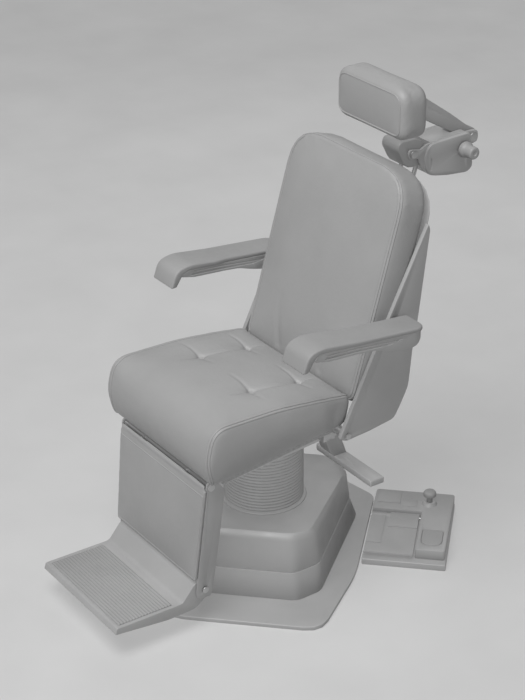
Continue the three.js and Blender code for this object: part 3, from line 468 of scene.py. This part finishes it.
def refined(node, width, segments=2):
    """A CAD node's own shape with its edges rounded and its facets smoothed."""
    return stands_for(rounded(tidied(blank(node, node + "_finished")), width, segments), node)


# ------------------------------------------------------------------ upholstery
def near(points, paths):
    """Each point's distance to the nearest of some paths, in metres."""
    samples = [p for path in paths for p in path]
    tree = KDTree(len(samples))
    for i, p in enumerate(samples):
        tree.insert(p, i)
    tree.balance()
    return np.array([tree.find(p)[2] for p in points])


def along(corners, place=WORLD, closed=False, step=2.5):
    """A path in metres through points in millimetres of a frame, sampled every step."""
    spots = [place @ Vector(c) for c in corners]
    if closed:
        spots.append(spots[0])
    path = []
    for a, b in zip(spots, spots[1:]):
        count = max(1, round((b - a).length / step))
        path += [(a.lerp(b, k / count)) * MM for k in range(count)]
    return path + [spots[-1] * MM]


CLOTH_FRAMES = 20
CLOTH = {
    "quality": 5, "mass": 0.3, "tension_stiffness": 12, "compression_stiffness": 12,
    "shear_stiffness": 6, "bending_stiffness": 0.6, "use_pressure": True,
    "vertex_group_mass": "held",
}


def swell(obj, held, rest, cap, voxel=6, pressure=12):
    """Blows up a closed cushion by cloth simulation. It's held along the paths in held, and
    wherever rest says that a point with its normal lies against something."""
    remesh = obj.modifiers.new("remesh", "REMESH")
    remesh.mode = "VOXEL"
    remesh.voxel_size = voxel * MM
    settle(obj)
    start = np.array([v.co for v in obj.data.vertices])
    distance = near([v.co for v in obj.data.vertices], held)
    pins = obj.vertex_groups.new(name="held")
    for v in obj.data.vertices:
        if distance[v.index] < 0.7 * voxel * MM or rest(v.co / MM, v.normal):
            pins.add([v.index], 1, "REPLACE")
    cloth = obj.modifiers.new("cloth", "CLOTH")
    for key, value in CLOTH.items():
        setattr(cloth.settings, key, value)
    cloth.settings.uniform_pressure_force = pressure
    cloth.settings.effector_weights.gravity = 0
    cloth.point_cache.frame_start = 1
    cloth.point_cache.frame_end = CLOTH_FRAMES
    for number in range(1, CLOTH_FRAMES + 1):
        scene.frame_set(number)
    settle(obj)
    scene.frame_set(1)
    end = np.array([v.co for v in obj.data.vertices])
    moved = end - start
    size = np.linalg.norm(moved, axis=1, keepdims=True)
    limit = cap * MM
    moved *= limit * np.tanh(size / limit) / np.maximum(size, 1e-9)
    obj.data.vertices.foreach_set("co", (start + moved).ravel())
    obj.vertex_groups.clear()
    relax = obj.modifiers.new("relax", "SMOOTH")
    relax.factor = 0.5
    relax.iterations = 3
    split = obj.modifiers.new("split", "SUBSURF")
    split.levels = 1
    return settle(obj)


def press(obj, way, dents=(), creases=()):
    """Pushes a cushion's surface in along way. A dent is (point, depth, radius) and a crease is
    (path of points, depth, width), all in millimetres; a crease fades towards its end."""
    co = np.array([v.co for v in obj.data.vertices]) / MM
    normals = np.array([v.normal for v in obj.data.vertices])
    way = np.array(way, float)
    facing = np.clip(-normals @ way, 0, 1)
    flat = np.eye(3) - np.outer(way, way)
    amount = np.zeros(len(co))
    for point, depth, radius in dents:
        away = np.linalg.norm((co - np.array(point)) @ flat, axis=1)
        amount += depth * np.exp(-((away / radius) ** 1.5))
    for path, depth, width in creases:
        best = np.zeros(len(co))
        total = sum(math.dist(a, b) for a, b in zip(path, path[1:]))
        gone = 0.0
        for a, b in zip(path, path[1:]):
            a, b = np.array(a, float), np.array(b, float)
            span = (b - a) @ flat
            t = np.clip(((co - a) @ flat) @ span / max(span @ span, 1e-9), 0, 1)
            away = np.linalg.norm((co - a) @ flat - t[:, None] * span, axis=1)
            share = (gone + t * math.dist(a, b)) / total
            best = np.maximum(best, depth * (1 - share) ** 0.7 * np.exp(-((away / width) ** 2)))
            gone += math.dist(a, b)
        amount += best
    co += np.outer(amount * facing, way)
    obj.data.vertices.foreach_set("co", (co * MM).ravel())
    obj.data.update()
    return obj


def surface(obj):
    mesh = obj.data
    return BVHTree.FromPolygons([v.co for v in mesh.vertices], [p.vertices for p in mesh.polygons])


BAND_POWER = 0.45  # squares off a band's section


def section(half, high, sides):
    """A cord's round section, or a flat band's with rounded edges."""
    power = 1 if half == high else BAND_POWER
    return [
        (
            math.copysign(abs(a) ** power, a) * half * MM,
            math.copysign(abs(b) ** power, b) * high * MM,
        )
        for a, b in ring_points(1, sides)
    ]


def welt(name, paths, on, half, high, sink, body, finish="vinyl", sides=12):
    """A cord or band along each closed or open path, laid on a surface and sunk into it."""
    tree = surface(on)
    points, faces = [], []
    for path in paths:
        closed = (path[0] - path[-1]).length < 1e-6
        line = path[:-1] if closed else path
        found = [tree.find_nearest(p) for p in line]
        spots = [f[0] - f[1] * sink * MM for f in found]
        ups = [f[1] for f in found]
        for _ in range(3):
            spots = [
                (spots[i - 1] + spots[i] * 2 + spots[(i + 1) % len(spots)]) / 4
                if closed or 0 < i < len(spots) - 1 else spots[i]
                for i in range(len(spots))
            ]
        first = len(points)
        for i, (spot, up) in enumerate(zip(spots, ups)):
            ahead = spots[(i + 1) % len(spots)] if closed or i < len(spots) - 1 else spot
            behind = spots[i - 1] if closed or i else spot
            way = (ahead - behind).normalized()
            side = way.cross(up).normalized()
            over = side.cross(way)
            for a, b in section(half, high, sides):
                points.append((spot + side * a + over * b) / MM)
        count = len(spots)
        for i in range(count if closed else count - 1):
            j = (i + 1) % count
            for k in range(sides):
                m = (k + 1) % sides
                at = (i * sides + k, j * sides + k, j * sides + m, i * sides + m)
                faces.append([first + a for a in at])
        if not closed:
            faces.append([first + k for k in range(sides)])
            faces.append([first + (count - 1) * sides + k for k in range(sides)])
    return extra(smooth(solid(name, points, faces), 80), body, finish)


STITCH_SIDES = 6
STITCH_RINGS = (  # share of the length from the middle, share of the radius, how far sunk
    (-0.5, 0.3, 0.5), (-0.3, 1, 0), (0.3, 1, 0), (0.5, 0.3, 0.5),
)


def stitches(name, paths, on, body, pitch=6.0, length=4.2, radius=0.55):
    """A row of short raised stitches along each path, lying on a surface."""
    tree = surface(on)
    points, faces = [], []
    for path in paths:
        walked = 0.0
        for a, b in zip(path, path[1:]):
            walked += (b - a).length / MM
            if walked < pitch:
                continue
            walked -= pitch
            spot, up = tree.find_nearest(b)[:2]
            way = (b - a).normalized()
            way = (way - up * way.dot(up)).normalized()
            side = way.cross(up)
            first = len(points)
            for share, thickness, sunk in STITCH_RINGS:
                centre = spot + way * (share * length * MM) - up * (sunk * radius * MM)
                for p, q in ring_points(radius * thickness * MM, STITCH_SIDES):
                    points.append((centre + side * p + up * q) / MM)
            last = first + (len(STITCH_RINGS) - 1) * STITCH_SIDES
            for ring in range(first, last, STITCH_SIDES):
                for k in range(STITCH_SIDES):
                    m = (k + 1) % STITCH_SIDES
                    ahead = ring + STITCH_SIDES
                    faces.append([ring + k, ahead + k, ahead + m, ring + m])
            faces.append([first + k for k in range(STITCH_SIDES)])
            faces.append([last + k for k in range(STITCH_SIDES)])
    return extra(smooth(solid(name, points, faces), 80), body, "thread")


# ------------------------------------------------------------------ the seat cushion
def mirror_x(paths):
    """The same paths on the other side of the chair."""
    return [[Vector((-p[0], p[1], p[2])) for p in path] for path in paths]


def inset(points, distance, closed=True):
    """A drawn line moved inwards, to its left, by a distance."""
    moved = []
    count = len(points)
    for i, (a, b) in enumerate(points):
        before = points[i - 1] if closed or i else points[i]
        after = points[(i + 1) % count] if closed or i < count - 1 else points[i]
        da, db = after[0] - before[0], after[1] - before[1]
        size = math.hypot(da, db) or 1
        moved.append((a - db / size * distance, b + da / size * distance))
    return moved


def snapped(paths, obj):
    """Paths with their points moved to the nearest places on an object."""
    tree = surface(obj)
    return [[tree.find_nearest(p)[0] for p in path] for path in paths]


SEAT_HALF = 245
SEAT_LINE = [(-318, 441), (-331, 512, 30), (-313, 604, 46), (-110, 603, 40), (104, 578)]
SEAT_DROP = 3.5  # how far in the cushion's edge lies at the middle of its rounding
SEAT_TOP = 598
FLOOR_FRONT, FLOOR_SLOPE = (-314, 441), 0.118  # a point (y, z) on the cushion's sloping floor
BELLY_OUT, BELLY_IN = 6, 9
BELLY_REAR, BELLY_SIDE = (10, 60), (170, 240)  # from where to where, in y and x, it fades
PANEL_Y = 45  # behind this the cushion's sides lie against the side panels


def open_line(corners, steps=8):
    """The points of an open drawn line with rounded corners."""
    return outline([corners[0][:2], *corners[1:-1], corners[-1][:2]], steps)


seat_edge = inset(open_line(SEAT_LINE), -SEAT_DROP, closed=False)
seat_seam = along([(SEAT_HALF - SEAT_DROP, y, z) for y, z in seat_edge])
seat_seams = [seat_seam] + mirror_x([seat_seam])


def seat_rest(p, normal):
    return normal.z < -0.6 or normal.y > 0.75 or (p.y > PANEL_Y and abs(normal.x) > 0.5)


def fade(value, start, end):
    """From 0 at start to 1 at end, smoothly."""
    share = min(max((value - start) / (end - start), 0), 1)
    return share * share * (3 - 2 * share)


def belly(obj):
    """Rounds the seat's sides out, and in again below."""
    for v in obj.data.vertices:
        x, y, z = v.co / MM
        foot = FLOOR_FRONT[1] + (y - FLOOR_FRONT[0]) * FLOOR_SLOPE
        height = min(max((z - foot) / (SEAT_TOP - foot), 0), 1)
        bulge = BELLY_OUT * math.sin(math.pi * height) * (1 - fade(y, *BELLY_REAR))
        out = bulge - BELLY_IN * (1 - height) ** 3
        v.co.x += math.copysign(1, x) * out * fade(abs(x), *BELLY_SIDE) * MM


seat = blank("seat_cushion", "seat")
seat_seams = snapped(seat_seams, seat)
seat = swell(seat, seat_seams, seat_rest, cap=12)
belly(seat)

TUFT_X = 117
FRONT_TUFT, REAR_TUFT = -118, 30
BOW, BOW_STEP = 14, 24.6  # how far the crease between two tufts bows, and its points' spacing
PINCH, DISH = (6, 10), (9, 42)  # depth and radius of a tuft's middle and of the hollow round it
tufts = []
creases = []
for side in (-1, 1):
    front = (side * TUFT_X, FRONT_TUFT, 600)
    rear = (side * (TUFT_X - 1), REAR_TUFT, 590)
    tufts += [(front, *PINCH), (rear, *PINCH), (front, *DISH), (rear, *DISH)]
    bow = [
        (side * TUFT_X + BOW * math.sin(math.pi * k / 6), FRONT_TUFT + BOW_STEP * k, 0)
        for k in range(7)
    ]
    creases.append((bow[:6], 4.5, 6))
    creases.append((bow[:2:-1], 3, 6))
    for y in (FRONT_TUFT, REAR_TUFT):
        x = side * TUFT_X
        creases.append(([(x, y, 0), (x - 46, y + 2, 0), (x - 100, y - 2, 0)], 5, 5))
        creases.append(([(x, y, 0), (x + 30, y - 5, 0), (x + 66, y - 2, 0)], 3.5, 6))
        creases.append(([(x, y, 0), (x + 4, y - 34, 0), (x + 2, y - 66, 0)], 3.5, 6))
    creases.append(([(side * TUFT_X, REAR_TUFT, 0), (side * TUFT_X - 6, REAR_TUFT + 64, 0)], 5, 5))
press(seat, (0, 0, -1), tufts, creases)
smooth(seat, 180)
stands_for(seat, "seat_cushion")


def inboard(paths, distance):
    """Paths moved by a distance towards the middle of the chair."""
    return [
        [p - Vector((math.copysign(distance * MM, p.x), 0, 0)) for p in path] for path in paths
    ]


FELL_INSET, STITCH_INSET = 10, 18
welt("seat_piping", seat_seams, seat, 2.5, 2.5, 0, "seat")
welt("seat_felling", inboard(seat_seams, FELL_INSET), seat, 4.2, 2.6, 0, "seat")
stitches("seat_stitching", inboard(seat_seams, STITCH_INSET), seat, "seat")

# ------------------------------------------------------------------ the back cushion
BACK_HALF, BACK_FRONT, BACK_FOOT, BACK_TOP = 245, -3, 81, 696
BACK_DROP = 4.7
FOOT_CUT, TOP_CUT = 34, 116  # how far from its corners the cushion starts to round
back_face = outline([
    (-BACK_HALF, BACK_FOOT, FOOT_CUT),
    (BACK_HALF, BACK_FOOT, FOOT_CUT),
    (BACK_HALF, BACK_TOP, TOP_CUT),
    (-BACK_HALF, BACK_TOP, TOP_CUT),
])
back_edge = inset(back_face, BACK_DROP)
BACK_FELL, BACK_STITCH = 13, 20
back_seam = along([(x, BACK_FRONT + BACK_DROP, u) for x, u in back_edge], BACK, closed=True)
UP_BACK = BACK.to_3x3() @ Vector((0, 0, 1))
OUT_BACK = BACK.to_3x3() @ Vector((0, -1, 0))


def back_rest(p, normal):
    return normal.dot(OUT_BACK) < -0.6 or normal.dot(UP_BACK) < -0.75


TOP_SINK, SINK_U = 8, (560, 690)
WRINKLE = ((93, 118), (104, 160), (116, 205), (121, 262))  # (x, u) up each side of the back's foot


def sink_top(obj):
    """Lets the back's top edge settle a little below its drawn height."""
    into = BACK.inverted()
    for vertex in obj.data.vertices:
        u = (into @ (vertex.co / MM)).z
        vertex.co -= UP_BACK * TOP_SINK * fade(u, *SINK_U) * MM


back = blank("back_cushion", "back")
back_seams = snapped([back_seam], back)
back = swell(back, back_seams, back_rest, cap=17)
sink_top(back)
back_creases = []
for side in (-1, 1):
    line = [BACK @ Vector((side * x, 0, u)) for x, u in WRINKLE]
    back_creases.append(([tuple(p) for p in line], 2.6, 12))
press(back, tuple(-OUT_BACK), creases=back_creases)
smooth(back, 180)
stands_for(back, "back_cushion")
welt("back_piping", back_seams, back, 2.3, 2.3, 0, "back")


def beside(x, u):
    """Whether a point of the back's face is up its left side, where the felled band is."""
    return x > 0 and u > 100 and x > u - 500


fell_line = inset(back_face, BACK_FELL)
fell = along([(x, BACK_FRONT, u) for x, u in fell_line if beside(x, u)], BACK)
welt("back_felling", snapped([fell] + mirror_x([fell]), back), back, 3.8, 2.4, 0, "back")
inner = along([(x, BACK_FRONT, u) for x, u in inset(back_face, BACK_STITCH)], BACK, closed=True)
stitches("back_stitching", snapped([inner], back), back, "back")

# ------------------------------------------------------------------ the headrest pad
HEAD_HALF, HEAD_FRONT, HEAD_FLOOR, HEAD_TOP = 139, 330, 1176, 1309
HEAD_INSET, HEAD_DROP = 13, 1.3
HEAD_MIDDLE = (HEAD_FLOOR + HEAD_TOP) / 2
HEAD_CUTS = (36, 36, 46, 46)
HEAD_WIDER, HEAD_TALLER = 1.025, 0.04
head_corners = ((-1, HEAD_FLOOR), (1, HEAD_FLOOR), (1, HEAD_TOP), (-1, HEAD_TOP))
head_face = outline([(a * HEAD_HALF, z, cut) for (a, z), cut in zip(head_corners, HEAD_CUTS)])
head_line = inset(head_face, HEAD_INSET)
head_seam = along([(x, HEAD_FRONT + HEAD_DROP, z) for x, z in head_line], closed=True)
head = blank("headrest_pad", "headrest")
head_seams = snapped([head_seam], head)
head = swell(head, head_seams, lambda p, normal: normal.y > 0.8, cap=10, voxel=4, pressure=20)
for vertex in head.data.vertices:
    vertex.co.x *= HEAD_WIDER
    vertex.co.z += (vertex.co.z - HEAD_MIDDLE * MM) * HEAD_TALLER
smooth(head, 180)
stands_for(head, "headrest_pad")
welt("headrest_piping", head_seams, head, 2.2, 2.2, 0, "headrest")

# ------------------------------------------------------------------ the leg rest pad
LEG_FOOT_U = -334.7
LEG_TOP_HALF, LEG_FOOT_HALF = 205, 190
PAD_TOP, PAD_FOOT, PAD_FRONT = -10, -275.7, -18


def leg_half(u):
    return LEG_TOP_HALF + (LEG_TOP_HALF - LEG_FOOT_HALF) * u / -LEG_FOOT_U


leg_face = [
    (-leg_half(PAD_FOOT), PAD_FOOT),
    (leg_half(PAD_FOOT), PAD_FOOT),
    (leg_half(PAD_TOP), PAD_TOP),
    (-leg_half(PAD_TOP), PAD_TOP),
]
LEG_INSET, LEG_DROP = 1.8, 1.2
leg_edge = inset(leg_face, LEG_INSET)
leg_seam = along([(x, PAD_FRONT + LEG_DROP, u) for x, u in leg_edge], LEG, closed=True)
OUT_LEG = LEG.to_3x3() @ Vector((0, -1, 0))
calf = blank("leg_pad", "calf")
leg_seams = snapped([leg_seam], calf)
calf = swell(calf, leg_seams, lambda p, normal: normal.dot(OUT_LEG) < 0.6, cap=6, voxel=3.5)
smooth(calf, 180)
stands_for(calf, "leg_pad")
RIM_INSET, RIM_DROP = 9, 8
rim_face = leg_face[:2] + [(x, u - RIM_DROP) for x, u in leg_face[2:]]
rim = along([(x, PAD_FRONT, u) for x, u in inset(rim_face, RIM_INSET)], LEG, closed=True)
welt("calf_piping", snapped([rim], calf), calf, 1.8, 1.8, 0.6, "leg_rest")

# ------------------------------------------------------------------ the bellows
BELLOWS_FOOT, BELLOWS_HEAD, BELLOWS_RADIUS, BELLOWS_CORE = 207.4, 391.6, 108, 92
FOLDS, FOLD_DEPTH = 20, 8


def bellows_profile():
    pitch = (BELLOWS_HEAD - BELLOWS_FOOT) / FOLDS
    profile = []
    for i in range(FOLDS * 8 + 1):
        turn = math.pi * i / 8
        depth = FOLD_DEPTH * (1 - abs(math.sin(turn)) ** 0.7)
        profile.append((BELLOWS_RADIUS - depth, BELLOWS_FOOT + pitch * i / 8))
    return [(BELLOWS_CORE, BELLOWS_FOOT)] + profile + [(BELLOWS_CORE, BELLOWS_HEAD)]


bellows = smooth(lathe("folded_bellows", "z", bellows_profile(), sides=96), 60)
paint_on(bellows, "rubber")
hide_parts("bellows")
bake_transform(bellows)

# ------------------------------------------------------------------ the armrests
ARM_PAD_X, ARM_BAR_X = (251, 346), (262, 340)
PAD_LINE = [
    (-119, 744), (-102, 791, 40), (-62, 801, 40), (52, 787), (264, 769),
    (264, 757.2), (52, 773.3), (-40, 782.7, 20), (-76, 784, 30), (-102, 744),
]
BAR_LINE = [
    (-82, 766, 6), (-39, 756), (53, 750), (102, 745, 12), (146, 731, 14), (196, 719, 20),
    (234, 719, 24), (260, 740, 20), (261, 756.2), (52, 772.5), (-40, 782), (-68, 781),
]
RECESS = [(-52, 762), (44, 756), (150, 746, 6), (196, 752, 6), (60, 767), (-40, 775)]
RIB = [(-58, 766.5), (44, 760), (172, 747), (176, 750), (52, 763.6), (-50, 770.5)]
PAD_PLAN = [(251, -125), (346, -125), (346, 264, 36), (260, 264, 12), (260, 62), (251, 20)]
BAR_PLAN = [(262, -125), (340, -125), (340, 264, 36), (262, 264, 10)]
PAD_ROUNDING, BAR_ROUNDING = 5, 1.2
PIVOT, PIVOT_RADIUS, PIVOT_BORE = (222, 748), 8.6, (250, 305)
PLAN_SPAN = (700, 850)  # taller than an armrest


def armrest(side, sign):
    def span(low, high):
        return sorted((sign * low, sign * high))

    pad = prism(f"{side}_arm_pad", "x", PAD_LINE, *span(*ARM_PAD_X), steps=10)
    plan = [(sign * x, y, *cut) for x, y, *cut in PAD_PLAN]
    plan = prism("plan", "z", plan, *PLAN_SPAN, steps=12)
    stands_for(rounded(tidied(kept(pad, plan)), PAD_ROUNDING, 4, 40), f"armrest_pad_{side}")
    bar = prism(f"{side}_arm_bar", "x", BAR_LINE, *span(*ARM_BAR_X), steps=10)
    for low, high in ((ARM_BAR_X[0] - 5, ARM_BAR_X[0] + 4), (ARM_BAR_X[1] - 4, ARM_BAR_X[1] + 5)):
        carve(bar, prism("recess", "x", RECESS, *span(low, high)))
    for low, high in ((ARM_BAR_X[0] + 1, ARM_BAR_X[0] + 8), (ARM_BAR_X[1] - 8, ARM_BAR_X[1] - 1)):
        united(bar, prism("rib", "x", RIB, *span(low, high)))
    plan = [(sign * x, y, *cut) for x, y, *cut in BAR_PLAN]
    kept(bar, prism("plan", "z", plan, *PLAN_SPAN, steps=12))
    low, high = span(*PIVOT_BORE)
    ends = [(0, low), (PIVOT_RADIUS, low), (PIVOT_RADIUS, high), (0, high)]
    hole = lathe("hole", "x", ends, PIVOT, 40)
    stands_for(rounded(tidied(carve(bar, hole)), BAR_ROUNDING, 3, 35), f"armrest_bar_{side}")


armrest("left", 1)
armrest("right", -1)

# ------------------------------------------------------------------ the footrest
FOOT_HALF, FOOT_HOLE = 185.5, 6.6
BORE_STARTS, BORE_LENGTH = (-200, 166), 34
FOOT_LINE = [
    (-579, 78, 3), (-573, 95, 4), (-380, 95, 10), (-345, 137, 2), (-337, 142, 4), (-318, 138, 8),
    (-297, 128, 10), (-298, 102, 10), (-311, 87, 10), (-338, 66, 14), (-421, 62, 20),
]
ANKLE = (-314, 118)
MAT_HALF, MAT_FRONT, MAT_REAR, RIBS = 173.5, -561.5, -404.5, 18
MAT_FOOT, MAT_VALLEY, MAT_CREST = 92.9, 94.4, 96.8
plate = prism("foot_plate", "x", FOOT_LINE, -FOOT_HALF, FOOT_HALF, steps=10)
TRAY = [(-174, -562, 3), (174, -562, 3), (174, -404, 3), (-174, -404, 3)]
carve(plate, prism("tray", "z", TRAY, 92.5, 110))
for low in BORE_STARTS:
    high = low + BORE_LENGTH
    ends = [(0, low), (FOOT_HOLE, low), (FOOT_HOLE, high), (0, high)]
    carve(plate, lathe("bore", "x", ends, ANKLE, 40))
stands_for(rounded(tidied(plate), 1.4, 3, 40), "footrest_plate")


def mat_line():
    pitch = (MAT_REAR - MAT_FRONT) / RIBS
    line = [(MAT_FRONT, MAT_FOOT), (MAT_REAR, MAT_FOOT)]
    for i in range(RIBS):
        rear = MAT_REAR - i * pitch
        crest = [(rear - pitch * share, MAT_CREST, 1.4) for share in (0.28, 0.72)]
        line += [(rear, MAT_VALLEY)] + crest
    return line + [(MAT_FRONT, MAT_VALLEY)]


mat = prism("foot_mat", "x", mat_line(), -MAT_HALF, MAT_HALF, steps=3)
stands_for(rounded(mat, 0.5, 2, 50), "footrest_mat")

# ------------------------------------------------------------------ the other pieces
EDGES = {  # node: how far its edges are rounded, in millimetres
    "base_plate": 2.5, "lower_base_cover": 2.5, "upper_base_cover": 3, "bellows_ring": 1,
    "foot_control_tray": 2, "foot_control_housing": 2, "foot_pad": 1, "foot_button": 1.5,
    "treadle": 1.6, "swivel_hub": 1.2, "swivel_plate": 1, "seat_frame": 1, "knee_rod": 0.6,
    "lever_bracket": 1.5, "lever_bolt": 0.7, "swivel_lock_lever": 2.4, "leg_link": 0.6,
    "recline_cylinder": 0.8, "recline_rod": 0.6, "back_shaft": 0.8, "back_cover": 1,
    "back_frame": 1, "headrest_guide": 2.5, "leg_frame": 1.4, "headrest_block": 8,
    "headrest_lower_link": 2.2, "headrest_lock_knob": 1.6, "headrest_upper_link": 3,
    "headrest_bracket": 0.8, "rear_hub_screw": 1, "block_screw": 1,
}
for side in ("left", "right"):
    EDGES[f"side_panel_{side}"] = 1.4
    EDGES[f"shaft_bolt_{side}"] = 0.7
    EDGES[f"arm_pivot_{side}"] = 0.8
    EDGES[f"footrest_bolt_{side}"] = 0.8
    EDGES[f"headrest_rod_{side}"] = 0.8
for node, width in EDGES.items():
    refined(node, width, 4 if width > 4 else 2)

# ------------------------------------------------------------------ the floor
FLOOR_HALF = 30000
CORNERS = ((-1, -1), (1, -1), (1, 1), (-1, 1))
floor = solid("floor", [(a * FLOOR_HALF, b * FLOOR_HALF, 0) for a, b in CORNERS], [[0, 1, 2, 3]])
floor_look = Nodes("floor")
floor.data.materials.append(
    floor_look.finish(
        floor_look.blend(floor_look.spread(floor_look.noise(3), 0, 1), 0.62, 0.66),
        floor_look.spread(floor_look.noise(30), 0.75, 0.85),
        floor_look.bump(floor_look.noise(500), 0.05),
    )
)
